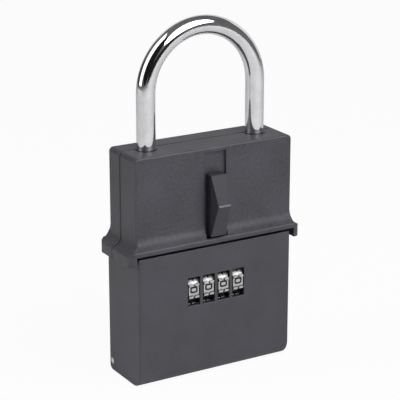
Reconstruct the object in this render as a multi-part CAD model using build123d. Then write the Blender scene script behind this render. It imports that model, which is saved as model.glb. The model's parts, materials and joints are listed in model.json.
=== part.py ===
from build123d import *
import math
import os

# Portable combination key safe in padlock form, millimetres.
# X to the right, front towards -Y, Z up, origin in the middle of the flat base.

# Key box (the lower, tilting bin)
BOX_W = 86.0
BOX_D = 32.0
BOX_WALL = 2.4
BOX_TOP_GAP = 1.75
BOX_FRONT_R = 8.0
BOX_REAR_R = 3.0
BOX_EDGE_R = 1.1

# Upper housing, set out from the box below it
LIP_Z = 69.0
HOUSING_H = 47.8
HOUSING_WALL = 2.4
SIDE_OVER = 0.6
FRONT_SETBACK = 1.2
REAR_SETBACK = 4.0
UPPER_EDGE_R = 0.9
TOP_SIDE_R = 2.2
SEAM_Y = 0.6
SEAM_W = 0.5
SEAM_DEPTH = 0.4

# Collar round the foot of the housing, with an ear on each side
COLLAR_OUT = 4.9
COLLAR_FRONT_OUT = 2.4
COLLAR_REAR_OUT = 2.5
COLLAR_CORNER_R = 4.0
BAND_H = 2.2
BAND_R = 0.5
FACE_FLARE_H = 8.1
SIDE_BAND_H = 1.3
SIDE_BAND_R = 1.2
SIDE_COVE_R = 6.1
EAR_DROP = 4.7
EAR_GAP = 1.5

# Shackle
SHACKLE_D = 9.2
SHACKLE_INSET = 13.2
ARCH_RISE = 26.5
HEEL_IN = 37.8
TOE_IN = 19.3
LIFT = 20.0
BUSH_T = 0.6
BUSH_PROUD = 0.2
BUSH_L = 7.0
STOP_PIN_D = 3.0
STOP_PIN_DOWN = 11.3

# Thumb slide in the front
RECESS_W = 12.0
RECESS_UP = 2.6
RECESS_H = 43.0
RECESS_DEPTH = 1.3
KNOB_W = 8.6
KNOB_H = 30.7
KNOB_UP = 1.3
KNOB_RIDGE_W = 6.5
KNOB_RIDGE_UP = 16.5
KNOB_END_OUT = 3.2
KNOB_RIDGE_OUT = 8.7
KNOB_BEAD_R = 0.55
KNOB_BEAD_OUT = 0.35
STEM_W = 4.2
STEM_H = 14.0
STEM_UP = 3.1
TRAVEL = 9.0
LATCH_W = 18.0
LATCH_T = 1.3
LATCH_GAP = 0.2
LATCH_OVER = 2.0

# Shackle bolt, moved half as far sideways as the slide moves up
BOLT_RATIO = 0.5
BOLT_DOWN = 14.3
BOLT_H = 5.0
BOLT_DEPTH = 6.0
BOLT_ARM_W = 4.4
CAM_PIN_D = 2.4
GUIDE_X0 = 10.0
GUIDE_L = 10.0
GUIDE_WALL = 1.6
GUIDE_TAB_T = 1.5
GUIDE_SCREW_UP = 7.2
GUIDE_TAB_END = 2.5

# Number wheels and their windows
WHEEL_N = 4
WHEEL_PITCH = 8.43
WHEEL_R = 10.0
WHEEL_W = 5.6
WHEEL_Z = 46.0
WHEEL_PROUD = 0.8
DIGITS = 10
GRIP_H = 0.5
GRIP_W = 1.1
GRIP_GAP = 0.9
WINDOW_W = 6.9
WINDOW_UP = 7.15
WINDOW_DOWN = 7.6
WINDOW_WALL = 1.6
RELIEF_H = 17.3
SPINDLE_D = 4.0
CLIP_T = 0.6
CLIP_R = 2.6
GROOVE_R = 1.5
CAM_R = 7.0
CAM_T = 1.2
CAM_BOSS = 0.5
CAM_BOSS_R = 4.0
CAM_FLAT = 5.95

# Wheel frame in the box, its click spring and the code change lever
FRAME_T = 1.5
FRAME_BACK = 2.4
FRAME_UP = 13.0
FRAME_DOWN = 17.0
FRAME_EAR = 8.0
FRAME_EAR_H = 20.0
FRAME_SCREW_OUT = 4.8
FRAME_SCREW_UP = 7.0
FRAME_POST_R = 3.0
CHEEK_GAP = 0.95
COMB_T = 0.5
COMB_D = 6.0
LEAF_W = 4.0
LEVER_T = 1.2
LEVER_X0 = 2.0
LEVER_L = 10.0
LEVER_UP = 2.0
LEVER_DOWN = 4.0
LEVER_TRAVEL = 3.0
LEVER_GRIP = 3.0
RAIL_W = 1.4
RAIL_LIP = 1.0

# Lock bar and its head
TINE_REACH = 6.2
TINE_W = 2.5
LAND_H = 1.9
BRIDGE_GAP = 1.8
BRIDGE_T = 1.5
HEAD_PIN_D = 2.4
HEAD_PIN_IN = 1.0
HEAD_PIN_DOWN = 2.5
HOOK_W = 5.2
HOOK_T = 1.2
ARM_W = 3.0

# Hinge
PIN_D = 3.4
PIN_IN = 2.8
PIN_Z = 5.2
PIN_SUNK = 0.3
BARREL_R = 2.6
BACK_WALL_T = 2.2

# Floor of the housing and the posts inside it
FLOOR_T = 1.5
FLOOR_POST_R = 3.2
FLOOR_POST_H = 5.0
CASE_POST_R = 2.5
CASE_SCREW_UP = 13.0
CASE_SCREW_DOWN = 18.8
STOP_POST_R = 3.4
STOP_POST_GAP = 2.0
SLEEVE_T = 2.0
RIB_T = 1.6

# Screws and clearances
SCREW_D = 2.5
SCREW_HEAD_D = 4.4
SCREW_HEAD_H = 1.2
HEAD_EDGE_R = 0.35
CROSS_L = 2.5
CROSS_W = 0.6
CROSS_DEPTH = 0.8
RUN = 0.05
SLIDE = 0.1
FREE = 0.3
WIDE = 300.0

# Planes and centres that follow from the sizes above
BOX_TOP = LIP_Z - BOX_TOP_GAP
BOX_X = BOX_W / 2
BOX_FRONT = -BOX_D / 2
BOX_REAR = BOX_D / 2
BOX_IN_X = BOX_X - BOX_WALL
BOX_IN_FRONT = BOX_FRONT + BOX_WALL
UPPER_X = BOX_X + SIDE_OVER
UPPER_FRONT = BOX_FRONT + FRONT_SETBACK
UPPER_REAR = BOX_REAR - REAR_SETBACK
TOP_Z = LIP_Z + HOUSING_H
COLLAR_X = UPPER_X + COLLAR_OUT
COLLAR_FRONT = UPPER_FRONT - COLLAR_FRONT_OUT
COLLAR_REAR = UPPER_REAR + COLLAR_REAR_OUT
BAND_Z = LIP_Z + BAND_H
SIDE_BAND_Z = LIP_Z + SIDE_BAND_H
EAR_Z = LIP_Z - EAR_DROP
CAV_X = UPPER_X - HOUSING_WALL
CAV_FRONT = UPPER_FRONT + HOUSING_WALL
CAV_REAR = UPPER_REAR - HOUSING_WALL
CAV_TOP = TOP_Z - HOUSING_WALL
SHACKLE_R = SHACKLE_D / 2
SHACKLE_X = UPPER_X - SHACKLE_INSET
SHACKLE_Y = (UPPER_FRONT + UPPER_REAR) / 2
ARCH_Z = TOP_Z + ARCH_RISE
HEEL_END = TOP_Z - HEEL_IN
TOE_END = TOP_Z - TOE_IN
STOP_PIN_Z = TOP_Z - STOP_PIN_DOWN
RECESS_Z0 = LIP_Z + RECESS_UP
RECESS_Z1 = RECESS_Z0 + RECESS_H
KNOB_Z0 = RECESS_Z0 + KNOB_UP
KNOB_Z1 = KNOB_Z0 + KNOB_H
KNOB_RIDGE_Z = KNOB_Z0 + KNOB_RIDGE_UP
STEM_Z0 = KNOB_Z0 + STEM_UP
STEM_Z1 = STEM_Z0 + STEM_H
LATCH_FRONT = CAV_FRONT + LATCH_GAP
LATCH_BACK = LATCH_FRONT + LATCH_T
BOLT_Z = TOP_Z - BOLT_DOWN
LATCH_TOP = BOLT_Z + LATCH_OVER
GUIDE_X1 = GUIDE_X0 + GUIDE_L
WHEEL_Y = BOX_FRONT - WHEEL_PROUD + WHEEL_R
WHEEL_XS = [(i - (WHEEL_N - 1) / 2) * WHEEL_PITCH for i in range(WHEEL_N)]
CAM_OUT = WHEEL_W / 2 + CAM_BOSS + CAM_T
FRAME_X = WHEEL_XS[-1] + CAM_OUT + CHEEK_GAP
FRAME_Z0 = WHEEL_Z - FRAME_DOWN
FRAME_Z1 = WHEEL_Z + FRAME_UP
LEVER_X1 = LEVER_X0 + LEVER_L
LEVER_Z0 = WHEEL_Z - LEVER_DOWN
LEVER_Z1 = WHEEL_Z + LEVER_UP
HEAD_PIN_Y = LATCH_BACK + HEAD_PIN_IN
HEAD_PIN_Z = LIP_Z - HEAD_PIN_DOWN
PIN_Y = BOX_REAR - PIN_IN


def block(x0, x1, y0, y1, z0, z1):
    """Box between two corners."""
    middle = Pos((x0 + x1) / 2, (y0 + y1) / 2, (z0 + z1) / 2)
    return middle * Box(abs(x1 - x0), abs(y1 - y0), abs(z1 - z0))


def rod_x(x0, x1, y, z, r):
    """Round bar along X."""
    return Pos((x0 + x1) / 2, y, z) * Rot(0, 90, 0) * Cylinder(r, x1 - x0)


def rod_y(x, y0, y1, z, r):
    """Round bar along Y."""
    return Pos(x, (y0 + y1) / 2, z) * Rot(90, 0, 0) * Cylinder(r, y1 - y0)


def rod_z(x, y, z0, z1, r):
    """Round bar along Z."""
    return Pos(x, y, (z0 + z1) / 2) * Cylinder(r, z1 - z0)


def prism_x(points, x0, x1):
    """Polygon of (y, z) points drawn out from x0 to x1."""
    face = Plane.YZ * make_face(Polyline(*points, close=True))
    return Pos(x0, 0, 0) * extrude(face, x1 - x0)


def screw(length):
    """Pan head screw with a cross recess, pointing down from its head seat at the origin."""
    head = rod_z(0, 0, 0, SCREW_HEAD_H, SCREW_HEAD_D / 2)
    head = fillet(head.edges().group_by(Axis.Z)[-1], HEAD_EDGE_R)
    for long, wide in ((CROSS_L / 2, CROSS_W / 2), (CROSS_W / 2, CROSS_L / 2)):
        head -= block(-long, long, -wide, wide, SCREW_HEAD_H - CROSS_DEPTH, SCREW_HEAD_H + 1)
    return head + rod_z(0, 0, -length, 0, SCREW_D / 2)


def screw_y(x, head_y, tip_y, z):
    """Screw along Y with its head seat at head_y."""
    way = math.copysign(1, head_y - tip_y)
    return Pos(x, head_y, z) * Rot(-90 * way, 0, 0) * screw(abs(head_y - tip_y))


def screw_hole_y(x, y0, y1, z):
    """Hole that takes a screw shank along Y."""
    return rod_y(x, y0, y1, z, SCREW_D / 2 + RUN)


def save(shape, name):
    """Write one node to its own file."""
    shape.label = name
    export_step(shape, "parts/" + name + ".step")


def housing_front_prism(inset):
    """Front outline of the housing, banded, hollowed and round-topped at each side, through its depth."""
    wall = UPPER_X - inset
    rim = COLLAR_X - inset
    top = TOP_Z - inset
    step = rim - SIDE_BAND_R
    bulge = SIDE_BAND_R * (1 - math.sqrt(0.5))
    round_z = SIDE_BAND_Z - SIDE_BAND_R
    sweep = math.acos(1 - (step - wall) / SIDE_COVE_R)
    cove_x = wall + SIDE_COVE_R * (1 - math.cos(sweep / 2))
    cove_end = SIDE_BAND_Z + SIDE_COVE_R * math.sin(sweep)
    cove_z = cove_end - SIDE_COVE_R * math.sin(sweep / 2)
    round_r = TOP_SIDE_R - inset
    top_x = wall - round_r
    top_bulge = round_r * (1 - math.sqrt(0.5))
    lines = [Line((-rim, LIP_Z), (rim, LIP_Z)), Line((-top_x, top), (top_x, top))]
    for side in (-1, 1):
        foot = (side * rim, round_z)
        ledge = (side * step, SIDE_BAND_Z)
        shoulder = (side * wall, top - round_r)
        lines += [
            Line((side * rim, LIP_Z), foot),
            ThreePointArc(foot, (side * (rim - bulge), SIDE_BAND_Z - bulge), ledge),
            ThreePointArc(ledge, (side * cove_x, cove_z), (side * wall, cove_end)),
            Line((side * wall, cove_end), shoulder),
            ThreePointArc(shoulder, (side * (wall - top_bulge), top - top_bulge), (side * top_x, top)),
        ]
    return extrude(Plane.XZ * make_face(lines), WIDE, both=True)


# Outer form of the housing: its front outline cut by a side outline that flares at front and back
flare_rims = (COLLAR_FRONT + BAND_R, COLLAR_REAR - BAND_R)
flare_mid = BAND_Z + FACE_FLARE_H / 2
flare_end = BAND_Z + FACE_FLARE_H
lines = [Line(*((rim, LIP_Z) for rim in flare_rims)), Line((UPPER_FRONT, TOP_Z), (UPPER_REAR, TOP_Z))]
for wall, rim in zip((UPPER_FRONT, UPPER_REAR), flare_rims):
    lines += [
        Line((rim, LIP_Z), (rim, BAND_Z)),
        Bezier((rim, BAND_Z), (rim, flare_mid), (wall, flare_mid), (wall, flare_end)),
        Line((wall, flare_end), (wall, TOP_Z)),
    ]
front_prism = housing_front_prism(0)
outer = front_prism & extrude(Plane.YZ * make_face(lines), WIDE, both=True)
upright = outer.edges().filter_by(Axis.Z).filter_by(lambda e: e.center().Z > flare_end)
outer = fillet(upright, UPPER_EDGE_R)

# Band round the foot of the flare
band = block(-COLLAR_X, COLLAR_X, COLLAR_FRONT, COLLAR_REAR, LIP_Z, BAND_Z)
band = fillet(band.edges().filter_by(Axis.X).group_by(Axis.Z)[-1], BAND_R)
outer += band & front_prism

# Ears beside the box, and the rounded plan of the collar
ear_x = BOX_X + EAR_GAP
for side in (-1, 1):
    outer += block(side * ear_x, side * COLLAR_X, COLLAR_FRONT, COLLAR_REAR, EAR_Z, LIP_Z)
plan_w = 2 * (COLLAR_X + RUN)
plan_d = COLLAR_REAR - COLLAR_FRONT + 2 * RUN
plan = extrude(RectangleRounded(plan_w, plan_d, COLLAR_CORNER_R), WIDE)
outer &= Pos(0, (COLLAR_REAR + COLLAR_FRONT) / 2, 0) * plan

# Hollow inside, and the wall that closes the box at the back
hollow = block(-CAV_X, CAV_X, CAV_FRONT, CAV_REAR, LIP_Z - 1, CAV_TOP)
back_x = BOX_IN_X - 0.4
back_wall = block(-back_x, back_x, UPPER_REAR, UPPER_REAR + BACK_WALL_T, PIN_Z, LIP_Z + 1)
barrel = rod_x(-back_x, back_x, PIN_Y, PIN_Z, BARREL_R)
housing = outer - hollow + back_wall + barrel
housing -= rod_x(-back_x - 1, back_x + 1, PIN_Y, PIN_Z, PIN_D / 2 + RUN)

# Collars that hold the shackle bushes
bush_r = SHACKLE_R + SLIDE + BUSH_T
bush_z0 = TOP_Z - BUSH_L
for side in (-1, 1):
    sleeve = rod_z(side * SHACKLE_X, SHACKLE_Y, bush_z0, CAV_TOP + 1, bush_r + SLEEVE_T)
    housing += sleeve & block(-CAV_X - 1, CAV_X + 1, CAV_FRONT - 1, CAV_REAR + 1, bush_z0, TOP_Z)
    housing -= rod_z(side * SHACKLE_X, SHACKLE_Y, bush_z0 - 1, TOP_Z + 1, bush_r + RUN)

# Posts for the casing screws, the floor screws and the shackle stop pin
case_post_x = CAV_X - CASE_POST_R + SLIDE
case_zs = (LIP_Z + CASE_SCREW_UP, TOP_Z - CASE_SCREW_DOWN)
case_spots = [(side * case_post_x, z) for side in (-1, 1) for z in case_zs]
for x, z in case_spots:
    housing += rod_y(x, CAV_FRONT - 0.5, CAV_REAR + 0.5, z, CASE_POST_R)
    housing -= screw_hole_y(x, CAV_FRONT, UPPER_REAR + 1, z)
    housing -= rod_y(x, UPPER_REAR - SCREW_HEAD_H - 0.2, UPPER_REAR + 1, z, SCREW_HEAD_D / 2 + FREE)

floor_z0 = LIP_Z + SCREW_HEAD_H + 0.1
floor_z1 = floor_z0 + FLOOR_T
floor_post_in = FLOOR_POST_R - 0.4
floor_spots = [
    (sx * (CAV_X - floor_post_in), y)
    for sx in (-1, 1)
    for y in (CAV_FRONT + floor_post_in, CAV_REAR - floor_post_in)
]
for x, y in floor_spots:
    housing += rod_z(x, y, floor_z1, floor_z1 + FLOOR_POST_H, FLOOR_POST_R)
    housing -= rod_z(x, y, floor_z1 - 1, floor_z1 + FLOOR_POST_H - 0.5, SCREW_D / 2 + RUN)

stop_x = -SHACKLE_X + SHACKLE_R
post_gap = SHACKLE_R + STOP_POST_GAP
for y0, y1 in ((CAV_FRONT - 1, SHACKLE_Y - post_gap), (SHACKLE_Y + post_gap, CAV_REAR + 1)):
    housing += rod_y(stop_x, y0, y1, STOP_PIN_Z, STOP_POST_R)
stop_y0 = CAV_FRONT + 0.6
stop_y1 = CAV_REAR - 0.6
housing -= rod_y(stop_x, stop_y0, stop_y1, STOP_PIN_Z, STOP_PIN_D / 2 + RUN)
for side in (-1, 1):
    housing -= rod_z(side * SHACKLE_X, SHACKLE_Y, floor_z1, bush_z0, SHACKLE_R + FREE)

# Recess, stem slot and guide ribs for the thumb slide
recess_back = UPPER_FRONT + RECESS_DEPTH
housing -= block(-RECESS_W / 2, RECESS_W / 2, -WIDE, recess_back, RECESS_Z0, RECESS_Z1)
stem_x = STEM_W / 2 + SLIDE
stem_top = STEM_Z1 + TRAVEL + FREE
housing -= block(-stem_x, stem_x, UPPER_FRONT, CAV_FRONT + 1, STEM_Z0 - FREE, stem_top)
for side in (-1, 1):
    rib_x = side * (LATCH_W / 2 + FREE)
    rib_out = rib_x + side * RIB_T
    housing += block(rib_x, rib_out, CAV_FRONT - 0.5, LATCH_BACK + 0.6, floor_z1 + 3.2, LATCH_TOP - 0.5)

# Bolt guide screw holes in the rear wall
guide_mid = (GUIDE_X0 + GUIDE_X1) / 2
guide_spots = [(guide_mid, BOLT_Z + way * GUIDE_SCREW_UP) for way in (-1, 1)]
guide_tip = CAV_REAR + 1.7
for x, z in guide_spots:
    housing -= screw_hole_y(x, CAV_REAR - 1, guide_tip, z)

# Visible seam round the middle, then the two halves
seam = block(-WIDE, WIDE, SEAM_Y - SEAM_W / 2, SEAM_Y + SEAM_W / 2, SIDE_BAND_Z, TOP_Z + 10)
seam -= housing_front_prism(SEAM_DEPTH)
housing -= seam
front_casing = housing & block(-WIDE, WIDE, -WIDE, SEAM_Y, -WIDE, WIDE)
rear_casing = housing & block(-WIDE, WIDE, SEAM_Y, WIDE, -WIDE, WIDE)
case_screws = [screw_y(x, UPPER_REAR - SCREW_HEAD_H, CAV_FRONT + 0.5, z) for x, z in case_spots]

# Floor of the housing with the mouth for the hook and the lock bar
mouth_x = HOOK_W / 2 + ARM_W + 1.4
floor_plate = block(
    -CAV_X + FREE, CAV_X - FREE, CAV_FRONT + 0.2, CAV_REAR - 0.2, floor_z0, floor_z1
)
floor_plate -= block(-mouth_x, mouth_x, CAV_FRONT - 1, HEAD_PIN_Y + 3.4, floor_z0 - 1, floor_z1 + 1)
floor_screws = []
for x, y in floor_spots:
    floor_plate -= rod_z(x, y, floor_z0 - 1, floor_z1 + 1, SCREW_D / 2 + RUN)
    shank = FLOOR_T + FLOOR_POST_H - 0.8
    floor_screws.append(Pos(x, y, floor_z0) * Rot(180, 0, 0) * screw(shank))

hinge_pin = rod_x(-BOX_X + PIN_SUNK, BOX_X - PIN_SUNK, PIN_Y, PIN_Z, PIN_D / 2)
stop_pin = rod_y(stop_x, stop_y0, stop_y1, STOP_PIN_Z, STOP_PIN_D / 2)


def shackle_bush(side):
    """Nylon liner in the top of the housing."""
    x = side * SHACKLE_X
    ring = rod_z(x, SHACKLE_Y, bush_z0, TOP_Z + BUSH_PROUD, bush_r)
    return ring - rod_z(x, SHACKLE_Y, bush_z0 - 1, TOP_Z + 2, SHACKLE_R + SLIDE)


# Shackle: one bar bent to a U, a long heel on the left and a short toe on the right
path = (
    Line((-SHACKLE_X, SHACKLE_Y, HEEL_END), (-SHACKLE_X, SHACKLE_Y, ARCH_Z))
    + ThreePointArc(
        (-SHACKLE_X, SHACKLE_Y, ARCH_Z),
        (0, SHACKLE_Y, ARCH_Z + SHACKLE_X),
        (SHACKLE_X, SHACKLE_Y, ARCH_Z),
    )
    + Line((SHACKLE_X, SHACKLE_Y, ARCH_Z), (SHACKLE_X, SHACKLE_Y, TOE_END))
)
start = Plane((-SHACKLE_X, SHACKLE_Y, HEEL_END), x_dir=(1, 0, 0), z_dir=(0, 0, 1))
shackle = sweep(start * Circle(SHACKLE_R), path=path)
ends = shackle.faces().filter_by(Axis.Z).edges()
shackle = chamfer(ends, 0.8)
flat_x = stop_x - STOP_PIN_D / 2 - FREE
flat_z0 = STOP_PIN_Z - STOP_PIN_D / 2 - FREE - LIFT
flat_z1 = STOP_PIN_Z + STOP_PIN_D / 2 + FREE
side_y0 = SHACKLE_Y - SHACKLE_D
side_y1 = SHACKLE_Y + SHACKLE_D
shackle -= block(flat_x, flat_x + SHACKLE_D, side_y0, side_y1, flat_z0, flat_z1)

# Bolt tip, its rest place and the notch it enters
bolt_move = TRAVEL * BOLT_RATIO
bolt_tip = SHACKLE_X - SHACKLE_R - 0.5
bolt_z0 = BOLT_Z - BOLT_H / 2
bolt_z1 = BOLT_Z + BOLT_H / 2
notch_x = bolt_tip + bolt_move + FREE
shackle -= block(0, notch_x, side_y0, side_y1, bolt_z0 - FREE, bolt_z1 + FREE)

# Shackle bolt with its arm and cam pin
cam_x = -bolt_move / 2
bolt_y0 = SHACKLE_Y - BOLT_DEPTH / 2
bolt_y1 = SHACKLE_Y + BOLT_DEPTH / 2
arm_y = LATCH_BACK + 0.4
bolt_x0 = cam_x - BOLT_ARM_W / 2
shackle_bolt = block(bolt_x0, bolt_tip, bolt_y0, bolt_y1, bolt_z0, bolt_z1)
shackle_bolt += block(bolt_x0, bolt_x0 + BOLT_ARM_W, arm_y, bolt_y0, bolt_z0, bolt_z1)
shackle_bolt += rod_y(cam_x, LATCH_FRONT + 0.2, arm_y, BOLT_Z, CAM_PIN_D / 2)

# Bolt guide: a block on the rear wall that the bolt runs through
guide_h = BOLT_H / 2 + GUIDE_WALL
guide_front = bolt_y0 - GUIDE_WALL
tab_front = CAV_REAR - GUIDE_TAB_T
tab_h = GUIDE_SCREW_UP + GUIDE_TAB_END
bolt_guide = block(GUIDE_X0, GUIDE_X1, guide_front, CAV_REAR, BOLT_Z - guide_h, BOLT_Z + guide_h)
bolt_guide += block(GUIDE_X0, GUIDE_X1, tab_front, CAV_REAR, BOLT_Z - tab_h, BOLT_Z + tab_h)
bolt_guide -= block(
    GUIDE_X0 - 1,
    GUIDE_X1 + 1,
    bolt_y0 - SLIDE,
    bolt_y1 + SLIDE,
    bolt_z0 - SLIDE,
    bolt_z1 + SLIDE,
)
guide_screws = []
for x, z in guide_spots:
    bolt_guide -= screw_hole_y(x, CAV_REAR - 2, CAV_REAR + 1, z)
    guide_screws.append(screw_y(x, tab_front, guide_tip - 0.1, z))

# Thumb slide: wedge knob in front, stem through the wall
knob_back = recess_back - SLIDE
knob_side = [
    (knob_back, KNOB_Z0),
    (UPPER_FRONT - KNOB_END_OUT, KNOB_Z0),
    (UPPER_FRONT - KNOB_RIDGE_OUT, KNOB_RIDGE_Z),
    (UPPER_FRONT - KNOB_END_OUT, KNOB_Z1),
    (knob_back, KNOB_Z1),
]
knob = prism_x(knob_side, -KNOB_W / 2, KNOB_W / 2)
taper = (KNOB_W - KNOB_RIDGE_W) / 2 / (KNOB_RIDGE_OUT - KNOB_END_OUT)
for side in (-1, 1):
    outer_x = side * (KNOB_W / 2 + 3)
    edge_x = side * KNOB_W / 2
    tip_x = edge_x - side * taper * (KNOB_RIDGE_OUT - KNOB_END_OUT + 2)
    plan = [
        (edge_x, UPPER_FRONT - KNOB_END_OUT),
        (outer_x, UPPER_FRONT - KNOB_END_OUT),
        (outer_x, UPPER_FRONT - KNOB_RIDGE_OUT - 2),
        (tip_x, UPPER_FRONT - KNOB_RIDGE_OUT - 2),
    ]
    wedge = extrude(make_face(Polyline(*plan, close=True)), KNOB_Z1 + 5)
    knob -= wedge
bead_y = UPPER_FRONT - KNOB_RIDGE_OUT - KNOB_BEAD_OUT + KNOB_BEAD_R
knob += rod_x(-KNOB_RIDGE_W / 2, KNOB_RIDGE_W / 2, bead_y, KNOB_RIDGE_Z, KNOB_BEAD_R)
release_slider = knob + block(-STEM_W / 2, STEM_W / 2, knob_back, LATCH_FRONT, STEM_Z0, STEM_Z1)

# Latch slide behind the front wall, with cam slot and front-open hook
hook_top = HEAD_PIN_Z + HEAD_PIN_D / 2 + 0.15
hook_low = HEAD_PIN_Z - HEAD_PIN_D / 2 - 0.9
hook_back = HEAD_PIN_Y + HEAD_PIN_D / 2 + FREE
hook_x = HOOK_W / 2
toe_z = hook_low - HOOK_T
latch_slide = block(-LATCH_W / 2, LATCH_W / 2, LATCH_FRONT, LATCH_BACK, floor_z1 + 1, LATCH_TOP)
latch_slide += block(-hook_x, hook_x, LATCH_FRONT, LATCH_BACK, hook_top, floor_z1 + 2)
latch_slide += block(-hook_x, hook_x, LATCH_FRONT, hook_back + HOOK_T, hook_top, hook_top + 1.6)
latch_slide += block(-hook_x, hook_x, hook_back, hook_back + HOOK_T, toe_z, hook_top)
latch_slide += block(-hook_x, hook_x, HEAD_PIN_Y - HEAD_PIN_D / 2 - SLIDE, hook_back, toe_z, hook_low)
slot_r = CAM_PIN_D / 2 + 0.15
slot_len = math.hypot(bolt_move, TRAVEL)
slot_tilt = math.degrees(math.atan2(bolt_move, TRAVEL))
slot_mid = Pos(0, LATCH_BACK + 1, BOLT_Z - TRAVEL / 2)
slot_face = Plane.XZ * SlotOverall(slot_len + 2 * slot_r, 2 * slot_r, rotation=90 + slot_tilt)
latch_slide -= slot_mid * extrude(slot_face, LATCH_T + 2)
slider_spots = [STEM_Z0 + 3, STEM_Z1 - 3]
slider_tip = knob_back - 2.0
slider_screws = []
for z in slider_spots:
    latch_slide -= screw_hole_y(0, LATCH_FRONT - 1, LATCH_BACK + 1, z)
    release_slider -= screw_hole_y(0, slider_tip - 0.2, LATCH_FRONT + 1, z)
    slider_screws.append(screw_y(0, LATCH_BACK, slider_tip, z))

# Key box: bin open at the top and at the back
box_out = block(-BOX_X, BOX_X, BOX_FRONT, BOX_REAR, 0, BOX_TOP)
low_edges = box_out.edges().filter_by(Axis.X).group_by(Axis.Z)[0].sort_by(Axis.Y)
box_out = fillet(low_edges[0], BOX_FRONT_R)
low_edges = box_out.edges().filter_by(Axis.X).group_by(Axis.Z)[0].sort_by(Axis.Y)
box_out = fillet(low_edges[-1], BOX_REAR_R)
front_edges = box_out.edges().filter_by(Axis.Z).group_by(Axis.Y)[0]
box_out = fillet(front_edges, BOX_EDGE_R)
box_in = block(-BOX_IN_X, BOX_IN_X, BOX_IN_FRONT, BOX_REAR + 5, BOX_WALL, BOX_TOP + 5)
in_edge = box_in.edges().filter_by(Axis.X).group_by(Axis.Z)[0].sort_by(Axis.Y)[0]
box_in = fillet(in_edge, BOX_FRONT_R - BOX_WALL)
key_box = box_out - box_in
key_box -= rod_x(-BOX_X - 1, BOX_X + 1, PIN_Y, PIN_Z, PIN_D / 2 + RUN)
for x in WHEEL_XS:
    key_box -= block(
        x - WINDOW_W / 2,
        x + WINDOW_W / 2,
        BOX_FRONT - 1,
        BOX_IN_FRONT + 1,
        WHEEL_Z - WINDOW_DOWN,
        WHEEL_Z + WINDOW_UP,
    )
relief_front = BOX_FRONT + WINDOW_WALL
relief_z0 = WHEEL_Z - RELIEF_H / 2
key_box -= block(-FRAME_X, FRAME_X, relief_front, BOX_IN_FRONT + 1, relief_z0, relief_z0 + RELIEF_H)

# Posts and screws that carry the wheel frame
frame_front = BOX_IN_FRONT + FRAME_BACK
frame_post_x = FRAME_X + FRAME_SCREW_OUT
frame_spots = [
    (sx * frame_post_x, WHEEL_Z + sz * FRAME_SCREW_UP) for sx in (-1, 1) for sz in (-1, 1)
]
frame_screws = []
for x, z in frame_spots:
    key_box += rod_y(x, BOX_IN_FRONT - 0.5, frame_front, z, FRAME_POST_R)
    key_box -= screw_hole_y(x, BOX_IN_FRONT - 0.7, frame_front + 1, z)
    frame_screws.append(screw_y(x, frame_front + FRAME_T, BOX_IN_FRONT - 0.6, z))

# Wheel frame: two cheeks, a back web, a floor and two fixing ears
tine_front = WHEEL_Y + TINE_REACH
tine_back = tine_front + TINE_W
web_front = WHEEL_Y + WHEEL_R + FREE
web_back = web_front + FRAME_T
cheek_out = FRAME_X + FRAME_T
dial_frame = block(-cheek_out, cheek_out, web_front, web_back, FRAME_Z0, FRAME_Z1 - 3)
dial_frame += block(-cheek_out, cheek_out, frame_front, web_back, FRAME_Z0, FRAME_Z0 + FRAME_T)
for side in (-1, 1):
    inner = side * FRAME_X
    dial_frame += block(inner, inner + side * FRAME_T, frame_front, web_back, FRAME_Z0, FRAME_Z1)
    ear_out = inner + side * FRAME_EAR
    ear_z0 = WHEEL_Z - FRAME_EAR_H / 2
    dial_frame += block(inner, ear_out, frame_front, frame_front + FRAME_T, ear_z0, ear_z0 + FRAME_EAR_H)
dial_frame -= rod_x(-cheek_out - 1, cheek_out + 1, WHEEL_Y, WHEEL_Z, SPINDLE_D / 2 + RUN)
for x, z in frame_spots:
    dial_frame -= screw_hole_y(x, frame_front - 1, frame_front + FRAME_T + 1, z)

# Code change lever and its rails on the back web
lever_front = web_back + SLIDE
lever_back = lever_front + LEVER_T
rail_x1 = LEVER_X1 + LEVER_TRAVEL
foot_y = lever_back + SLIDE
for edge, way in ((LEVER_Z0 - SLIDE, -1), (LEVER_Z1 + SLIDE, 1)):
    rail_z = edge + way * RAIL_W
    dial_frame += block(LEVER_X0, rail_x1, web_back, foot_y, edge, rail_z)
    dial_frame += block(LEVER_X0, rail_x1, foot_y, foot_y + RAIL_LIP, edge - way * RAIL_LIP, rail_z)
grip_x = LEVER_X0 + LEVER_L / 2
grip_z0 = LEVER_Z0 + RAIL_LIP + 0.6
grip_z1 = LEVER_Z1 - RAIL_LIP - 0.6
change_lever = block(LEVER_X0, LEVER_X1, lever_front, lever_back, LEVER_Z0, LEVER_Z1)
change_lever += block(grip_x - 1, grip_x + 1, lever_back, lever_back + LEVER_GRIP, grip_z0, grip_z1)

# Spindle with a clip in a groove at each end
spindle_end = cheek_out + 1.8
spindle = rod_x(-spindle_end, spindle_end, WHEEL_Y, WHEEL_Z, SPINDLE_D / 2)
clips = []
for side in (-1, 1):
    near = side * (cheek_out + 0.1)
    far = near + side * CLIP_T
    x0, x1 = min(near, far), max(near, far)
    core = rod_x(x0, x1, WHEEL_Y, WHEEL_Z, GROOVE_R)
    spindle -= rod_x(x0, x1, WHEEL_Y, WHEEL_Z, SPINDLE_D) - core
    clip = rod_x(x0, x1, WHEEL_Y, WHEEL_Z, CLIP_R) - core
    mouth_y = GROOVE_R - SLIDE
    mouth = block(x0 - 1, x1 + 1, WHEEL_Y - mouth_y, WHEEL_Y + mouth_y, WHEEL_Z - 2 * CLIP_R, WHEEL_Z)
    clips.append(clip - mouth)

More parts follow.
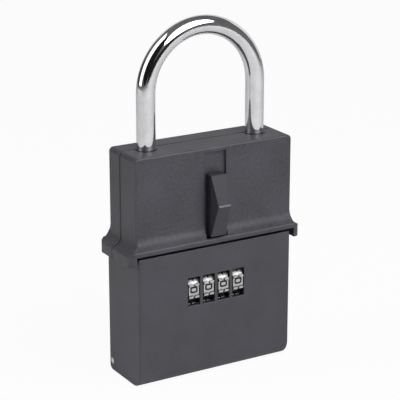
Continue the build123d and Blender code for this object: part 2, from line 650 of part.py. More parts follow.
# Click spring: a comb with one leaf under each wheel
comb_z = FRAME_Z0 + FRAME_T
leaf_y0 = frame_front + FREE
leaf_y1 = leaf_y0 + COMB_T
leaf_top = WHEEL_Z - math.sqrt(WHEEL_R ** 2 - (leaf_y1 - WHEEL_Y) ** 2) - FREE
comb_x = FRAME_X - FREE
detent_comb = block(-comb_x, comb_x, leaf_y0, leaf_y0 + COMB_D, comb_z, comb_z + COMB_T)
for x in WHEEL_XS:
    detent_comb += block(x - LEAF_W / 2, x + LEAF_W / 2, leaf_y0, leaf_y1, comb_z, leaf_top)


def wheel(x):
    """Ten-sided number wheel with split grip bars between the digits."""
    flat = Plane.YZ * RegularPolygon(WHEEL_R - GRIP_H, DIGITS, rotation=180 / DIGITS)
    body = Pos(x - WHEEL_W / 2, WHEEL_Y, WHEEL_Z) * extrude(flat, WHEEL_W)
    bar_w = (WHEEL_W - GRIP_GAP) / 2
    for step in range(DIGITS):
        turn = Pos(x, WHEEL_Y, WHEEL_Z) * Rot(360 / DIGITS * (step + 0.5), 0, 0)
        for side in (-1, 1):
            mid_x = side * (GRIP_GAP + bar_w) / 2
            bar = Pos(mid_x, -WHEEL_R + 1, 0) * Box(bar_w, 2, GRIP_W)
            body += turn * bar
    return body - rod_x(x - WHEEL_W, x + WHEEL_W, WHEEL_Y, WHEEL_Z, SPINDLE_D / 2 + RUN)


def gate_cam(x):
    """Disc beside a wheel, with one flat that lets the lock bar pass."""
    x0 = x + WHEEL_W / 2
    x1 = x0 + CAM_BOSS
    x2 = x1 + CAM_T
    disc = rod_x(x1, x2, WHEEL_Y, WHEEL_Z, CAM_R)
    flat_y = WHEEL_Y + CAM_FLAT
    disc -= block(x1 - 1, x2 + 1, flat_y, flat_y + CAM_R, WHEEL_Z - 2 * CAM_R, WHEEL_Z + 2 * CAM_R)
    disc += rod_x(x0, x1, WHEEL_Y, WHEEL_Z, CAM_BOSS_R)
    return disc - rod_x(x0 - 1, x2 + 1, WHEEL_Y, WHEEL_Z, SPINDLE_D / 2 + RUN)


# Lock bar: head pin between two arms, bridge over the wheels, one tine behind each cam
bridge_z0 = WHEEL_Z + WHEEL_R + BRIDGE_GAP
bridge_z1 = bridge_z0 + BRIDGE_T
cam_mid = CAM_OUT - CAM_T / 2
tine_xs = [x + cam_mid for x in WHEEL_XS]
arm_x = HOOK_W / 2 + 0.4
arm_y0 = HEAD_PIN_Y - HEAD_PIN_D / 2
arm_y1 = HEAD_PIN_Y + HEAD_PIN_D / 2
arm_top = HEAD_PIN_Z + HEAD_PIN_D / 2 + 0.2
bridge_x0 = min(-arm_x - ARM_W, tine_xs[0] - CAM_T / 2)
lock_bar = block(bridge_x0, tine_xs[-1] + CAM_T / 2, arm_y0, tine_back, bridge_z0, bridge_z1)
for side in (-1, 1):
    inner = side * arm_x
    lock_bar += block(inner, inner + side * ARM_W, arm_y0, arm_y1, bridge_z0, arm_top)
lock_bar += rod_x(-arm_x - 1, arm_x + 1, HEAD_PIN_Y, HEAD_PIN_Z, HEAD_PIN_D / 2)
land_z = WHEEL_Z - TRAVEL / 2
notch_h = TRAVEL - LAND_H
notch_y = WHEEL_Y + CAM_R + 0.25
for x in tine_xs:
    x0 = x - CAM_T / 2
    x1 = x + CAM_T / 2
    low = land_z - LAND_H / 2 - notch_h
    tine = block(x0, x1, tine_front, tine_back, low - 1, bridge_z1)
    for z0 in (low, land_z + LAND_H / 2):
        tine -= block(x0 - 1, x1 + 1, tine_front - 1, notch_y, z0, z0 + notch_h)
    lock_bar += tine

# Write every node
os.makedirs("parts", exist_ok=True)
save(front_casing, "front_casing")
save(rear_casing, "rear_casing")
save(Compound(children=case_screws), "casing_screws")
save(floor_plate, "floor_plate")
save(Compound(children=floor_screws), "floor_screws")
save(hinge_pin, "hinge_pin")
save(shackle_bush(-1), "shackle_bush_heel")
save(shackle_bush(1), "shackle_bush_toe")
save(stop_pin, "shackle_stop_pin")
save(bolt_guide, "bolt_guide")
save(Compound(children=guide_screws), "bolt_guide_screws")
save(shackle, "shackle")
save(shackle_bolt, "shackle_bolt")
save(release_slider, "release_slider")
save(latch_slide, "latch_slide")
save(Compound(children=slider_screws), "slider_screws")
save(key_box, "key_box")
save(dial_frame, "dial_frame")
save(Compound(children=frame_screws), "dial_frame_screws")
save(spindle, "spindle")
save(Compound(children=clips), "spindle_clips")
save(detent_comb, "detent_comb")
save(lock_bar, "lock_bar")
save(change_lever, "change_lever")
for number, x in enumerate(WHEEL_XS, start=1):
    save(wheel(x), "dial_" + str(number))
    save(gate_cam(x), "gate_cam_" + str(number))
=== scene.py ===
import json
import math

import bmesh
import bpy
from mathutils import Matrix, Vector


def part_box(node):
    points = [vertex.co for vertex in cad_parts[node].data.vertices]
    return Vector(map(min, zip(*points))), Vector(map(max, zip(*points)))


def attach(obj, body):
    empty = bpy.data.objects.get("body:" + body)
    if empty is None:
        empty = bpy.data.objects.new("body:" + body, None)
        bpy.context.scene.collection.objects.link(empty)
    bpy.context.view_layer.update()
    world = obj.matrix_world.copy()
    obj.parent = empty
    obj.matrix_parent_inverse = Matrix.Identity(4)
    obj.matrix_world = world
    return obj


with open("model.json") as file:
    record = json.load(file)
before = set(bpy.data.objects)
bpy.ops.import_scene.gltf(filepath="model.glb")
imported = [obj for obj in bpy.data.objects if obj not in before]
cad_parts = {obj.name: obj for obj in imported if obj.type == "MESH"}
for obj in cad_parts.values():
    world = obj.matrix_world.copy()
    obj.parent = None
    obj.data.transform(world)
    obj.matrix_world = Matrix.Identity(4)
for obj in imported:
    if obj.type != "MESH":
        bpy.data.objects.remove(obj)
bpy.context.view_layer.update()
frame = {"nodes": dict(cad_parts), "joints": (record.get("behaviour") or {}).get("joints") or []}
nodes = frame["nodes"]

# Number wheels: their axis from the frame, and the corners between their faces as in the solids (metres)
WHEEL_N = 4
DIGITS = 10
WHEEL_AXIS = next(Vector(joint["pos_m"]) for joint in frame["joints"] if joint["name"] == "dial_1_turn")
WHEEL_CORNER_R = 0.0095
WHEEL_FACE = WHEEL_CORNER_R * math.cos(math.pi / DIGITS)

# Joint between the halves of the housing, where the rear half begins, and the dirt to each side of it
SEAM_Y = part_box("rear_casing")[0].y
SEAM_DIRT = 0.0012

# Painted highlight on the ridge of the thumb slide: how far back it goes, and how soon it is full
RIDGE_HIGHLIGHT = 0.00045
RIDGE_HIGHLIGHT_FADE = 0.00025
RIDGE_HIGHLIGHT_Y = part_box("release_slider")[0].y + RIDGE_HIGHLIGHT

# Inked digits
DIGIT_W = 0.0041
DIGIT_H = 0.0033
STROKE = 0.00084
DIGIT_UP = 0.0006
INK_PROUD = 0.00004
CORNER_CUT = 0.16
CORNER_ROUNDS = 2
LEAST_MITRE = 0.5

# Effects: where masks begin and are full, and how many rays feel for edges and corners
EDGE_BEGINS = 0.99
EDGE_FULL = 0.84
EDGE_RAYS = 6
EDGE_PATCH_LEAST = 0.45
# Painted shade in corners: where it begins, how many rays feel for corners, and its least speckle
SHADE_BEGINS = 0.85
SHADE_RAYS = 8
SHADE_SPECK_LEAST = 0.6
SMUDGE_BEGINS = 0.45
SMUDGE_FULL = 0.68
RELIEF_STRENGTH = 0.5

# Plastic: pattern scales in cycles per metre, shares, and tones as multiples of the base colour
CLOUD_SCALE = 55.0
# Patch scale of the painted highlight along outer edges
EDGE_PATCH_SCALE = 260.0
PLASTIC_SPECKS = 900.0
GRAIN_SHARE = 0.6
GRAIN_STOPS = (0.32, 0.5, 0.68)
GLOSS_DROP = 0.06
GLOSS_RISE = 0.08
# Tone of the painted highlight along outer edges
EDGE_HIGHLIGHT_TONE = 2.2
# Tone of the painted shade in corners and gaps
PAINTED_SHADE_TONE = 0.15
# Tone of the painted highlight on the slide's ridge
RIDGE_HIGHLIGHT_TONE = 5.5
SEAM_TONE = 0.1
SEAM_SINK = 4.0
EDGE_POLISH = 0.08
EDGE_REACH = 0.0007
RIDGE_EDGE_REACH = 0.00025

# Metal: scales, shares and tones in the same way, and the depth of its marks
MARK_STOPS = ((0.3, 0.93), (0.7, 1.05))
MARK_DEPTH = 0.000004
SMUDGE_SCALE = 120.0
METAL_SPECKS = 1200.0
SMUDGE_SHARE = 0.15
SMUDGE_TONE = 0.85
# Painted shade in the corners of metal parts: its share and tone
METAL_SHADE_SHARE = 0.95
METAL_SHADE_TONE = 0.08


# Shared effects, each a node group that the finishes place with their own values
def effect_group(name, sockets_in, sockets_out):
    """Empty effect with named inputs and outputs."""
    group = bpy.data.node_groups.new(name, "ShaderNodeTree")
    for label, kind in sockets_in.items():
        group.interface.new_socket(name=label, in_out="INPUT", socket_type=kind)
    for label, kind in sockets_out.items():
        group.interface.new_socket(name=label, in_out="OUTPUT", socket_type=kind)
    given = group.nodes.new("NodeGroupInput").outputs
    result = group.nodes.new("NodeGroupOutput").inputs
    return group, given, result


def add(tree, kind, **values):
    """Node with plain values on its inputs."""
    made = tree.nodes.new(kind)
    for label, value in values.items():
        made.inputs[label.replace("_", " ")].default_value = value
    return made


def put(tree, value, socket):
    """Give an input a plain value or a link."""
    if isinstance(value, (int, float)):
        socket.default_value = value
    else:
        tree.links.new(value, socket)


def math_node(tree, operation, first, second=0.0):
    """Sum, product or other working of numbers, each a link or a plain value."""
    made = tree.nodes.new("ShaderNodeMath")
    made.operation = operation
    put(tree, first, made.inputs[0])
    put(tree, second, made.inputs[1])
    return made.outputs["Value"]


def to_range(tree, value, low, high, frm=0.3, to=0.7):
    """Number that goes from low to high as another goes from one limit to the other."""
    made = add(tree, "ShaderNodeMapRange", From_Min=frm, To_Min=low, To_Max=high)
    put(tree, to, made.inputs["From Max"])
    tree.links.new(value, made.inputs["Value"])
    return made.outputs["Result"]


def own_place(tree):
    """Place of a point in the part's own coordinates."""
    return tree.nodes.new("ShaderNodeTexCoord").outputs["Object"]


def part_noise(tree, scale, detail, vector=None):
    """Noise in the part's own coordinates, with its scale in cycles per metre."""
    made = add(tree, "ShaderNodeTexNoise", Detail=detail)
    if vector is None:
        vector = own_place(tree)
    tree.links.new(vector, made.inputs["Vector"])
    tree.links.new(scale, made.inputs["Scale"])
    return made.outputs["Fac"]


NUMBER = "NodeSocketFloat"
VECTOR = "NodeSocketVector"


def moulding_grain():
    """Fine spark-eroded grain and slow cloudiness of moulded plastic."""
    sizes = {"Grain Scale": NUMBER, "Cloud Scale": NUMBER}
    group, given, result = effect_group("moulding_grain", sizes, {"Grain": NUMBER, "Cloud": NUMBER})
    group.links.new(part_noise(group, given["Grain Scale"], detail=2.0), result["Grain"])
    group.links.new(part_noise(group, given["Cloud Scale"], detail=2.0), result["Cloud"])
    return group


def edge_highlight_and_rounding():
    """Mask of the outer edges, in patches, where the colour is lightened as a painted highlight, and the
    normal that rounds them.
    """
    sizes = {"Reach": NUMBER, "Patch Scale": NUMBER}
    group, given, result = effect_group("edge_highlight_and_rounding", sizes, {"Edge": NUMBER, "Rounded": VECTOR})
    rounded = group.nodes.new("ShaderNodeBevel")
    rounded.samples = EDGE_RAYS
    group.links.new(given["Reach"], rounded.inputs["Radius"])
    sharp = group.nodes.new("ShaderNodeNewGeometry")
    alike = group.nodes.new("ShaderNodeVectorMath")
    alike.operation = "DOT_PRODUCT"
    group.links.new(rounded.outputs["Normal"], alike.inputs[0])
    group.links.new(sharp.outputs["Normal"], alike.inputs[1])
    edge = to_range(group, alike.outputs["Value"], 0.0, 1.0, EDGE_BEGINS, EDGE_FULL)
    patches = to_range(group, part_noise(group, given["Patch Scale"], detail=3.0), EDGE_PATCH_LEAST, 1.0)
    group.links.new(math_node(group, "MULTIPLY", edge, patches), result["Edge"])
    group.links.new(rounded.outputs["Normal"], result["Rounded"])
    return group


def painted_corner_shade():
    """Mask of inner corners and narrow gaps, where the colour is darkened as painted shade."""
    sizes = {"Reach": NUMBER, "Full At": NUMBER, "Speck Scale": NUMBER}
    group, given, result = effect_group("painted_corner_shade", sizes, {"Painted Shade": NUMBER})
    open_sky = group.nodes.new("ShaderNodeAmbientOcclusion")
    open_sky.samples = SHADE_RAYS
    group.links.new(given["Reach"], open_sky.inputs["Distance"])
    corner = to_range(group, open_sky.outputs["AO"], 0.0, 1.0, SHADE_BEGINS, given["Full At"])
    specks = to_range(group, part_noise(group, given["Speck Scale"], detail=3.0), SHADE_SPECK_LEAST, 1.0)
    group.links.new(math_node(group, "MULTIPLY", corner, specks), result["Painted Shade"])
    return group


def metal_marks():
    """Fine tool marks, drawn out along one way, and broad smudges."""
    sizes = {"Mark Scale": NUMBER, "Stretch": VECTOR, "Smudge Scale": NUMBER}
    group, given, result = effect_group("metal_marks", sizes, {"Marks": NUMBER, "Smudge": NUMBER})
    drawn = group.nodes.new("ShaderNodeVectorMath")
    drawn.operation = "MULTIPLY"
    group.links.new(own_place(group), drawn.inputs[0])
    group.links.new(given["Stretch"], drawn.inputs[1])
    marks = part_noise(group, given["Mark Scale"], detail=4.0, vector=drawn.outputs["Vector"])
    group.links.new(marks, result["Marks"])
    patches = part_noise(group, given["Smudge Scale"], detail=3.0)
    group.links.new(to_range(group, patches, 0.0, 1.0, SMUDGE_BEGINS, SMUDGE_FULL), result["Smudge"])
    return group


MOULDING_GRAIN = moulding_grain()
EDGE_HIGHLIGHT_AND_ROUNDING = edge_highlight_and_rounding()
PAINTED_CORNER_SHADE = painted_corner_shade()
METAL_MARKS = metal_marks()


def place_effect(tree, group, **values):
    """Effect in a finish, with this finish's values."""
    made = tree.nodes.new("ShaderNodeGroup")
    made.node_tree = group
    for label, value in values.items():
        made.inputs[label.replace("_", " ")].default_value = value
    return made.outputs


# Finishes
def empty_finish(name):
    """Material with nothing but its output."""
    finish = bpy.data.materials.new(name)
    finish.use_nodes = True
    tree = finish.node_tree
    tree.nodes.clear()
    surface = tree.nodes.new("ShaderNodeOutputMaterial").inputs["Surface"]
    return finish, tree, surface


def new_finish(name):
    """Material with its shader."""
    finish, tree, surface = empty_finish(name)
    shader = tree.nodes.new("ShaderNodeBsdfPrincipled")
    tree.links.new(shader.outputs["BSDF"], surface)
    return finish, tree, shader


def shade(colour, k):
    """Colour made lighter or darker."""
    return tuple(min(1.0, c * k) for c in colour)


def tones(tree, value, stops):
    """Colours along a number, from (place, colour) stops."""
    made = tree.nodes.new("ShaderNodeValToRGB")
    band = made.color_ramp
    while len(band.elements) < len(stops):
        band.elements.new(0.5)
    for element, (spot, colour) in zip(band.elements, stops):
        element.position = spot
        element.color = (*colour, 1.0)
    tree.links.new(value, made.inputs["Fac"])
    return made.outputs["Color"]


def overlay(tree, mask, share, below, colour):
    """One colour laid over another as far as a mask and a share say."""
    made = tree.nodes.new("ShaderNodeMix")
    made.data_type = "RGBA"
    factor, first, second = made.inputs[0], made.inputs[6], made.inputs[7]
    tree.links.new(math_node(tree, "MULTIPLY", mask, share), factor)
    tree.links.new(below, first)
    second.default_value = (*colour, 1.0)
    return made.outputs[2]


def relief(tree, shader, height, distance, normal=None):
    """Raised and sunk detail on the shader's normal."""
    made = add(tree, "ShaderNodeBump", Strength=RELIEF_STRENGTH, Distance=distance)
    if normal is not None:
        tree.links.new(normal, made.inputs["Normal"])
    tree.links.new(height, made.inputs["Height"])
    tree.links.new(made.outputs["Normal"], shader.inputs["Normal"])


def depth_place(tree):
    """How far back a point of the part lies."""
    split = tree.nodes.new("ShaderNodeSeparateXYZ")
    tree.links.new(own_place(tree), split.inputs["Vector"])
    return split.outputs["Y"]


def front_highlight(tree, start):
    """Mask of what stands out furthest to the front, lightened there as a painted highlight."""
    return to_range(tree, depth_place(tree), 0.0, 1.0, start, start - RIDGE_HIGHLIGHT_FADE)


def seam_dirt(tree, seam):
    """Mask of the dirt in the joint between the two halves of the housing."""
    off = math_node(tree, "SUBTRACT", depth_place(tree), seam)
    return to_range(tree, math_node(tree, "ABSOLUTE", off), 1.0, 0.0, SEAM_DIRT / 2, SEAM_DIRT)


def plastic(name, colour, rough, shine, grain_scale, speckle, depth, edge_highlight, painted_shade,
            edge_reach=EDGE_REACH, highlight_from=None, seam=None):
    """Moulded plastic: grain, clouds, a painted highlight on outer edges, and painted shade in corners
    given as (reach, full at, share).
    """
    finish, tree, shader = new_finish(name)
    grain = place_effect(tree, MOULDING_GRAIN, Grain_Scale=grain_scale, Cloud_Scale=CLOUD_SCALE)
    edges = place_effect(tree, EDGE_HIGHLIGHT_AND_ROUNDING, Reach=edge_reach, Patch_Scale=EDGE_PATCH_SCALE)
    fine = math_node(tree, "MULTIPLY", grain["Grain"], GRAIN_SHARE)
    slow = math_node(tree, "MULTIPLY", grain["Cloud"], 1.0 - GRAIN_SHARE)
    shades = (shade(colour, 1.0 - speckle), colour, shade(colour, 1.0 + speckle))
    base = tones(tree, math_node(tree, "ADD", fine, slow), list(zip(GRAIN_STOPS, shades)))
    # Lighten outer edges as a painted highlight
    base = overlay(tree, edges["Edge"], edge_highlight, base, shade(colour, EDGE_HIGHLIGHT_TONE))
    for reach, full_at, share in painted_shade:
        corner = place_effect(tree, PAINTED_CORNER_SHADE, Reach=reach, Full_At=full_at, Speck_Scale=PLASTIC_SPECKS)
        # Darken inner corners and gaps as painted shade
        base = overlay(tree, corner["Painted Shade"], share, base, shade(colour, PAINTED_SHADE_TONE))
    if highlight_from is not None:
        # Lighten the front of the ridge as a painted highlight
        base = overlay(tree, front_highlight(tree, highlight_from), 1.0, base, shade(colour, RIDGE_HIGHLIGHT_TONE))
    height = grain["Grain"]
    if seam is not None:
        dirt = seam_dirt(tree, seam)
        base = overlay(tree, dirt, 1.0, base, shade(colour, SEAM_TONE))
        height = math_node(tree, "SUBTRACT", height, math_node(tree, "MULTIPLY", dirt, SEAM_SINK))
    tree.links.new(base, shader.inputs["Base Color"])
    gloss = to_range(tree, grain["Grain"], rough - GLOSS_DROP, rough + GLOSS_RISE)
    gloss = math_node(tree, "SUBTRACT", gloss, math_node(tree, "MULTIPLY", edges["Edge"], EDGE_POLISH))
    tree.links.new(gloss, shader.inputs["Roughness"])
    shader.inputs["Specular IOR Level"].default_value = shine
    relief(tree, shader, height, depth, edges["Rounded"])
    return finish


def metal(name, colour, rough, spread, mark_scale, stretch=(1.0, 1.0, 1.0), depth=MARK_DEPTH, painted_shade=()):
    """Metal whose tone and gloss follow fine marks and smudges, with painted shade in corners as (reach,
    full at).
    """
    finish, tree, shader = new_finish(name)
    shader.inputs["Metallic"].default_value = 1.0
    scales = {"Mark_Scale": mark_scale, "Stretch": stretch, "Smudge_Scale": SMUDGE_SCALE}
    marks = place_effect(tree, METAL_MARKS, **scales)
    base = tones(tree, marks["Marks"], [(spot, shade(colour, tone)) for spot, tone in MARK_STOPS])
    base = overlay(tree, marks["Smudge"], SMUDGE_SHARE, base, shade(colour, SMUDGE_TONE))
    for reach, full_at in painted_shade:
        corner = place_effect(tree, PAINTED_CORNER_SHADE, Reach=reach, Full_At=full_at, Speck_Scale=METAL_SPECKS)
        # Darken inner corners as painted shade
        base = overlay(tree, corner["Painted Shade"], METAL_SHADE_SHARE, base, shade(colour, METAL_SHADE_TONE))
    tree.links.new(base, shader.inputs["Base Color"])
    gloss = to_range(tree, marks["Marks"], rough, rough + spread)
    gloss = math_node(tree, "ADD", gloss, math_node(tree, "MULTIPLY", marks["Smudge"], spread / 2))
    tree.links.new(gloss, shader.inputs["Roughness"])
    relief(tree, shader, marks["Marks"], depth)
    return finish


# Each painted_shade entry darkens corners and gaps as painted shade
HOUSING = plastic(
    "housing_grain",
    colour=(0.0375, 0.0345, 0.0475),
    rough=0.5,
    shine=0.95,
    grain_scale=750.0,
    speckle=0.6,
    depth=0.00014,
    edge_highlight=0.25,
    painted_shade=((0.002, 0.3, 0.6), (0.0007, 0.7, 0.95)),
    seam=SEAM_Y,
)
BOX = plastic(
    "box_satin",
    colour=(0.0430, 0.0398, 0.0535),
    rough=0.48,
    shine=0.9,
    grain_scale=1300.0,
    speckle=0.36,
    depth=0.00003,
    edge_highlight=0.25,
    painted_shade=((0.002, 0.3, 0.6),),
)
SLIDE = plastic(
    "slide_satin",
    colour=(0.037, 0.0345, 0.0455),
    rough=0.44,
    shine=0.6,
    grain_scale=3000.0,
    speckle=0.12,
    depth=0.00002,
    edge_highlight=0.3,
    painted_shade=((0.007, 0.3, 0.95),),
    edge_reach=RIDGE_EDGE_REACH,
    highlight_from=RIDGE_HIGHLIGHT_Y,
)
NYLON = plastic(
    "bush_nylon",
    colour=(0.012, 0.012, 0.013),
    rough=0.45,
    shine=0.5,
    grain_scale=3000.0,
    speckle=0.12,
    depth=0.00002,
    edge_highlight=0.1,
    painted_shade=((0.002, 0.3, 0.5),),
)
INK = plastic(
    "digit_ink",
    colour=(0.010, 0.010, 0.011),
    rough=0.5,
    shine=0.4,
    grain_scale=5000.0,
    speckle=0.12,
    depth=0.00001,
    edge_highlight=0.1,
    painted_shade=((0.002, 0.3, 0.2),),
)
CHROME = metal(
    "shackle_chrome",
    colour=(0.80, 0.80, 0.82),
    rough=0.04,
    spread=0.03,
    mark_scale=260.0,
    depth=0.000001,
)
STEEL = metal(
    "bright_steel",
    colour=(0.66, 0.66, 0.67),
    rough=0.2,
    spread=0.14,
    mark_scale=900.0,
    stretch=(0.1, 1.0, 1.0),
)
PLATED = metal("plated_steel", colour=(0.52, 0.52, 0.51), rough=0.3, spread=0.18, mark_scale=500.0)
# The wheel's painted_shade darkens its corners and the grips deep in the windows as painted shade
WHEEL = metal(
    "wheel_nickel",
    colour=(0.68, 0.68, 0.68),
    rough=0.28,
    spread=0.16,
    mark_scale=1500.0,
    painted_shade=((0.008, 0.62), (0.003, 0.68), (0.0012, 0.62)),
)
BRASS = metal(
    "cam_brass",
    colour=(0.62, 0.47, 0.2),
    rough=0.3,
    spread=0.2,
    mark_scale=800.0,
    painted_shade=((0.006, 0.6),),
)
PIN = metal("pin_brass", colour=(0.94, 0.89, 0.78), rough=0.6, spread=0.2, mark_scale=900.0)

FINISHES = {
    "front_casing": HOUSING,
    "rear_casing": HOUSING,
    "key_box": BOX,
    "release_slider": SLIDE,
    "shackle": CHROME,
    "shackle_bush_heel": NYLON,
    "shackle_bush_toe": NYLON,
    "hinge_pin": PIN,
    "casing_screws": STEEL,
    "floor_screws": STEEL,
    "bolt_guide_screws": STEEL,
    "slider_screws": STEEL,
    "dial_frame_screws": STEEL,
    "shackle_stop_pin": STEEL,
    "spindle": STEEL,
    "spindle_clips": STEEL,
    "detent_comb": STEEL,
}
for i in range(1, WHEEL_N + 1):
    FINISHES["dial_%d" % i] = WHEEL
    FINISHES["gate_cam_%d" % i] = BRASS
for name, obj in nodes.items():
    obj.data.materials.clear()
    obj.data.materials.append(FINISHES.get(name, PLATED))

# Lines of each digit in a field that runs from -0.5 to 0.5 both ways; the flag says that a line closes
DIGIT_LINES = {
    0: [(True, [(-0.5, 0.5), (0.5, 0.5), (0.5, -0.5), (-0.5, -0.5)])],
    1: [(False, [(-0.25, 0.25), (0.1, 0.5), (0.1, -0.5)])],
    2: [(False, [(-0.5, 0.2), (-0.5, 0.5), (0.5, 0.5), (0.5, 0.05), (-0.5, -0.45), (0.5, -0.5)])],
    3: [
        (False, [(-0.5, 0.5), (0.5, 0.5), (0.5, 0.0), (-0.2, 0.0)]),
        (False, [(-0.2, 0.0), (0.5, 0.0), (0.5, -0.5), (-0.5, -0.5)]),
    ],
    4: [(False, [(0.25, -0.5), (0.25, 0.5), (-0.5, -0.2), (0.5, -0.2)])],
    5: [(False, [(0.5, 0.5), (-0.5, 0.5), (-0.5, 0.05), (0.5, 0.05), (0.5, -0.5), (-0.5, -0.5)])],
    6: [(False, [(0.45, 0.5), (-0.5, 0.5), (-0.5, -0.5), (0.5, -0.5), (0.5, 0.0), (-0.5, 0.0)])],
    7: [(False, [(-0.5, 0.5), (0.5, 0.5), (-0.1, -0.5)])],
    8: [
        (True, [(-0.45, 0.5), (0.45, 0.5), (0.45, 0.0), (-0.45, 0.0)]),
        (True, [(-0.5, 0.0), (0.5, 0.0), (0.5, -0.5), (-0.5, -0.5)]),
    ],
    9: [(False, [(-0.45, -0.5), (0.5, -0.5), (0.5, 0.5), (-0.5, 0.5), (-0.5, 0.0), (0.5, 0.0)])],
}


def round_corners(points, closed):
    """Line with its corners cut off a few times."""
    for _ in range(CORNER_ROUNDS):
        ring = points + points[:1] if closed else points
        cut = [] if closed else [points[0]]
        for a, b in zip(ring, ring[1:]):
            cut += [a.lerp(b, CORNER_CUT), a.lerp(b, 1 - CORNER_CUT)]
        points = cut if closed else cut + [points[-1]]
    return points


def ink_line(mesh, points, closed, matrix):
    """Ribbon of ink along a line on a wheel face, sunk as deep as it stands proud."""
    count = len(points)
    rings = []
    for i, spot in enumerate(points):
        before = points[i - 1] if closed or i else spot
        after = points[(i + 1) % count] if closed or i + 1 < count else spot
        first = (spot - before).normalized() if spot != before else (after - spot).normalized()
        second = (after - spot).normalized() if after != spot else first
        way = (first + second).normalized()
        across = Vector((-way.y, way.x)) * (STROKE / 2 / max(LEAST_MITRE, way.dot(second)))
        corners = []
        for side, inward in ((-1, 1), (1, 1), (1, -1), (-1, -1)):
            at = spot + across * side
            corners.append(mesh.verts.new(matrix @ Vector((at.x, INK_PROUD * inward, at.y))))
        rings.append(corners)
    pairs = zip(rings, rings[1:] + rings[:1]) if closed else zip(rings, rings[1:])
    for a, b in pairs:
        for k in range(4):
            mesh.faces.new((a[k], a[(k + 1) % 4], b[(k + 1) % 4], b[k]))
    if not closed:
        mesh.faces.new(rings[0][::-1])
        mesh.faces.new(rings[-1])


def digit_ring(index):
    """All ten inked digits of one wheel, as one piece."""
    mesh = bmesh.new()
    wheel = "dial_%d" % index
    low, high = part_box(wheel)
    centre = Vector(((low.x + high.x) / 2, WHEEL_AXIS.y, WHEEL_AXIS.z))
    field = Vector((DIGIT_W - STROKE, DIGIT_H - STROKE))
    for digit, lines in DIGIT_LINES.items():
        turn = Matrix.Rotation(-2 * math.pi * digit / DIGITS, 4, "X")
        matrix = Matrix.Translation(centre) @ turn @ Matrix.Translation((0, -WHEEL_FACE, DIGIT_UP))
        for closed, line in lines:
            points = [Vector((u * field.x, v * field.y)) for u, v in line]
            ink_line(mesh, round_corners(points, closed), closed, matrix)
    bmesh.ops.recalc_face_normals(mesh, faces=mesh.faces)
    name = "digits_%d" % index
    data = bpy.data.meshes.new(name)
    mesh.to_mesh(data)
    mesh.free()
    ring = bpy.data.objects.new(name, data)
    bpy.context.collection.objects.link(ring)
    data.materials.append(INK)
    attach(ring, wheel)


for i in range(1, WHEEL_N + 1):
    digit_ring(i)

# Camera at the photo's place, from a fit to its straight edges
CAMERA_AZ = math.radians(-30.67)
CAMERA_EL = math.radians(17.84)
CAMERA_BACK = 0.78687
CAMERA_NEAR = 0.01
TARGET = Vector((0.00018, 0.0, 0.08605))
FRAME_PX = 400
FOCAL_PX = 1602.6
SENSOR = 36.0


def direction(azimuth, elevation):
    """Unit vector; azimuth runs from the front towards the right."""
    level = math.cos(elevation)
    return Vector((math.sin(azimuth) * level, -math.cos(azimuth) * level, math.sin(elevation)))


def photo_camera():
    """Camera that looks from where the photo was taken."""
    data = bpy.data.cameras.new("photo_camera")
    data.sensor_width = SENSOR
    data.lens = FOCAL_PX / FRAME_PX * SENSOR
    data.clip_start = CAMERA_NEAR
    camera = bpy.data.objects.new("photo_camera", data)
    away = direction(CAMERA_AZ, CAMERA_EL)
    camera.location = TARGET + away * CAMERA_BACK
    camera.rotation_euler = away.to_track_quat("Z", "Y").to_euler()
    bpy.context.collection.objects.link(camera)
    bpy.context.scene.camera = camera


photo_camera()
bpy.context.scene.view_settings.view_transform = "Standard"

# Studio: a pale table, a dim room and cards that only the metal shows, and two softboxes
STUDIO_MIDDLE = Vector((0.0, 0.0, 0.11))
ROOM_R = 2.4
ROOM_GREY = 0.14
ROOM_SEGMENTS = 48
ROOM_RINGS = 24
ROOM_CUT_Z = -0.01
WALL_PATCH_SCALE = 1.5
WALL_STOPS = ((0.3, 0.8), (0.7, 1.2))
CARD_R = 2.0
LAMP_R = 1.2
TABLE_HALF = 3.0
TABLE_TONES = (0.72, 0.77)
TABLE_FIBRE_SCALE = 8.0
TABLE_ROUGH = 0.9
TABLE_SEEN = 0.95
TABLE_MIRRORED = 0.15
AMBIENT = 0.08

# Cards: azimuth and elevation from the camera's side, width and height, all in degrees, and grey
CARDS = {
    "dark_front": (-18, 32, 56, 66, 0.012),
    "dark_low_right": (28, 6, 46, 18, 0.014),
    "dark_left": (-103, 7, 44, 26, 0.04),
    "pale_rear_right": (152, 14, 70, 40, 0.8),
    "pale_rear_left": (-168, 14, 44, 40, 0.65),
}

# Softboxes: azimuth and elevation in the same way, shape, size in metres and brightness
SOFTBOXES = {
    "round_softbox": (46, 47, "ELLIPSE", (1.2, 1.2), 4.0),
    "strip_softbox": (-73, 35, "RECTANGLE", (0.85, 1.65), 1.65),
}


def studio_place(azimuth, elevation, distance):
    """Point in the studio, in degrees to the right of the camera's side and up."""
    way = direction(CAMERA_AZ + math.radians(azimuth), math.radians(elevation))
    return STUDIO_MIDDLE + way * distance


def turned_to_object(obj, place):
    """Put a card or a lamp in its place, facing the object."""
    obj.location = place
    obj.rotation_euler = (STUDIO_MIDDLE - place).to_track_quat("-Z", "Y").to_euler()
    bpy.context.collection.objects.link(obj)


def softbox(name, azimuth, elevation, shape, size, glow):
    """Lamp of an even brightness over its whole face."""
    data = bpy.data.lights.new(name, "AREA")
    data.shape = shape
    data.size, data.size_y = size
    face = size[0] * size[1] * (math.pi / 4 if shape == "ELLIPSE" else 1.0)
    data.energy = glow * math.pi * face
    turned_to_object(bpy.data.objects.new(name, data), studio_place(azimuth, elevation, LAMP_R))


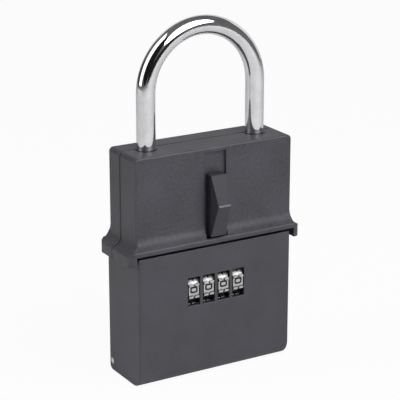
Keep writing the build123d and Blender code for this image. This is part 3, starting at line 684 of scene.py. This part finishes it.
def seen_rays(tree, straight, mirrored):
    """Share for rays that come straight from the camera, and for those by way of a mirror or a glass."""
    path = tree.nodes.new("ShaderNodeLightPath").outputs
    mirror = math_node(tree, "MAXIMUM", path["Is Glossy Ray"], path["Is Transmission Ray"])
    seen = math_node(tree, "MULTIPLY", path["Is Camera Ray"], straight)
    return math_node(tree, "MAXIMUM", seen, math_node(tree, "MULTIPLY", mirror, mirrored))


def wall_paint(name, grey):
    """Even glow of one grey with a slight unevenness."""
    paint, tree, surface = empty_finish(name)
    glow = tree.nodes.new("ShaderNodeEmission")
    patches = add(tree, "ShaderNodeTexNoise", Scale=WALL_PATCH_SCALE, Detail=1.0)
    tree.links.new(own_place(tree), patches.inputs["Vector"])
    stops = [(spot, (grey * tone,) * 3) for spot, tone in WALL_STOPS]
    tree.links.new(tones(tree, patches.outputs["Fac"], stops), glow.inputs["Color"])
    tree.links.new(glow.outputs["Emission"], surface)
    return paint


def only_in_mirrors(obj, grey):
    """Studio wall or card that shows in metal but not in the picture, and takes no light away."""
    obj.data.materials.append(wall_paint(obj.name, grey))
    obj.visible_camera = False
    obj.visible_diffuse = False
    obj.visible_shadow = False


def flat_sheet(name, half_w, half_h):
    """Level rectangle about the origin."""
    mesh = bpy.data.meshes.new(name)
    corners = [(-half_w, -half_h, 0), (half_w, -half_h, 0), (half_w, half_h, 0), (-half_w, half_h, 0)]
    mesh.from_pydata(corners, [], [(0, 1, 2, 3)])
    return bpy.data.objects.new(name, mesh)


def studio_card(name, azimuth, elevation, wide, tall, grey):
    """Card that covers so many degrees each way."""
    half_w = CARD_R * math.tan(math.radians(wide / 2))
    half_h = CARD_R * math.tan(math.radians(tall / 2))
    card = flat_sheet(name, half_w, half_h)
    turned_to_object(card, studio_place(azimuth, elevation, CARD_R))
    only_in_mirrors(card, grey)


def studio_room():
    """Dome over the table."""
    dome = bmesh.new()
    bmesh.ops.create_uvsphere(dome, u_segments=ROOM_SEGMENTS, v_segments=ROOM_RINGS, radius=ROOM_R)
    below = [v for v in dome.verts if v.co.z < ROOM_CUT_Z]
    bmesh.ops.delete(dome, geom=below, context="VERTS")
    data = bpy.data.meshes.new("studio_room")
    dome.to_mesh(data)
    dome.free()
    room = bpy.data.objects.new("studio_room", data)
    bpy.context.collection.objects.link(room)
    only_in_mirrors(room, ROOM_GREY)


def table():
    """Pale table that keeps the object's shadow and is nearly white to the eye."""
    top = flat_sheet("table", TABLE_HALF, TABLE_HALF)
    bpy.context.collection.objects.link(top)
    finish, tree, surface = empty_finish("table_white")
    paper = add(tree, "ShaderNodeBsdfPrincipled", Roughness=TABLE_ROUGH, Specular_IOR_Level=0.0)
    fibre = add(tree, "ShaderNodeTexNoise", Scale=TABLE_FIBRE_SCALE, Detail=3.0)
    low, high = TABLE_TONES
    colour = tones(tree, fibre.outputs["Fac"], [(0.0, (low,) * 3), (1.0, (high,) * 3)])
    tree.links.new(colour, paper.inputs["Base Color"])
    white = add(tree, "ShaderNodeEmission", Strength=1.0)
    mix = tree.nodes.new("ShaderNodeMixShader")
    tree.links.new(seen_rays(tree, TABLE_SEEN, TABLE_MIRRORED), mix.inputs["Fac"])
    tree.links.new(paper.outputs["BSDF"], mix.inputs[1])
    tree.links.new(white.outputs["Emission"], mix.inputs[2])
    tree.links.new(mix.outputs["Shader"], surface)
    top.data.materials.append(finish)


def studio_air():
    """World that is white where it is seen and dim in the light it gives."""
    world = bpy.data.worlds.new("studio_air")
    bpy.context.scene.world = world
    world.use_nodes = True
    tree = world.node_tree
    tree.nodes.clear()
    out = tree.nodes.new("ShaderNodeOutputWorld")
    mix = tree.nodes.new("ShaderNodeMixShader")
    dim = add(tree, "ShaderNodeBackground", Color=(1, 1, 1, 1), Strength=AMBIENT)
    bright = add(tree, "ShaderNodeBackground", Color=(1, 1, 1, 1), Strength=1.0)
    tree.links.new(seen_rays(tree, 1.0, 1.0), mix.inputs["Fac"])
    tree.links.new(dim.outputs["Background"], mix.inputs[1])
    tree.links.new(bright.outputs["Background"], mix.inputs[2])
    tree.links.new(mix.outputs["Shader"], out.inputs["Surface"])


studio_room()
for name, values in CARDS.items():
    studio_card(name, *values)
for name, values in SOFTBOXES.items():
    softbox(name, *values)
table()
studio_air()
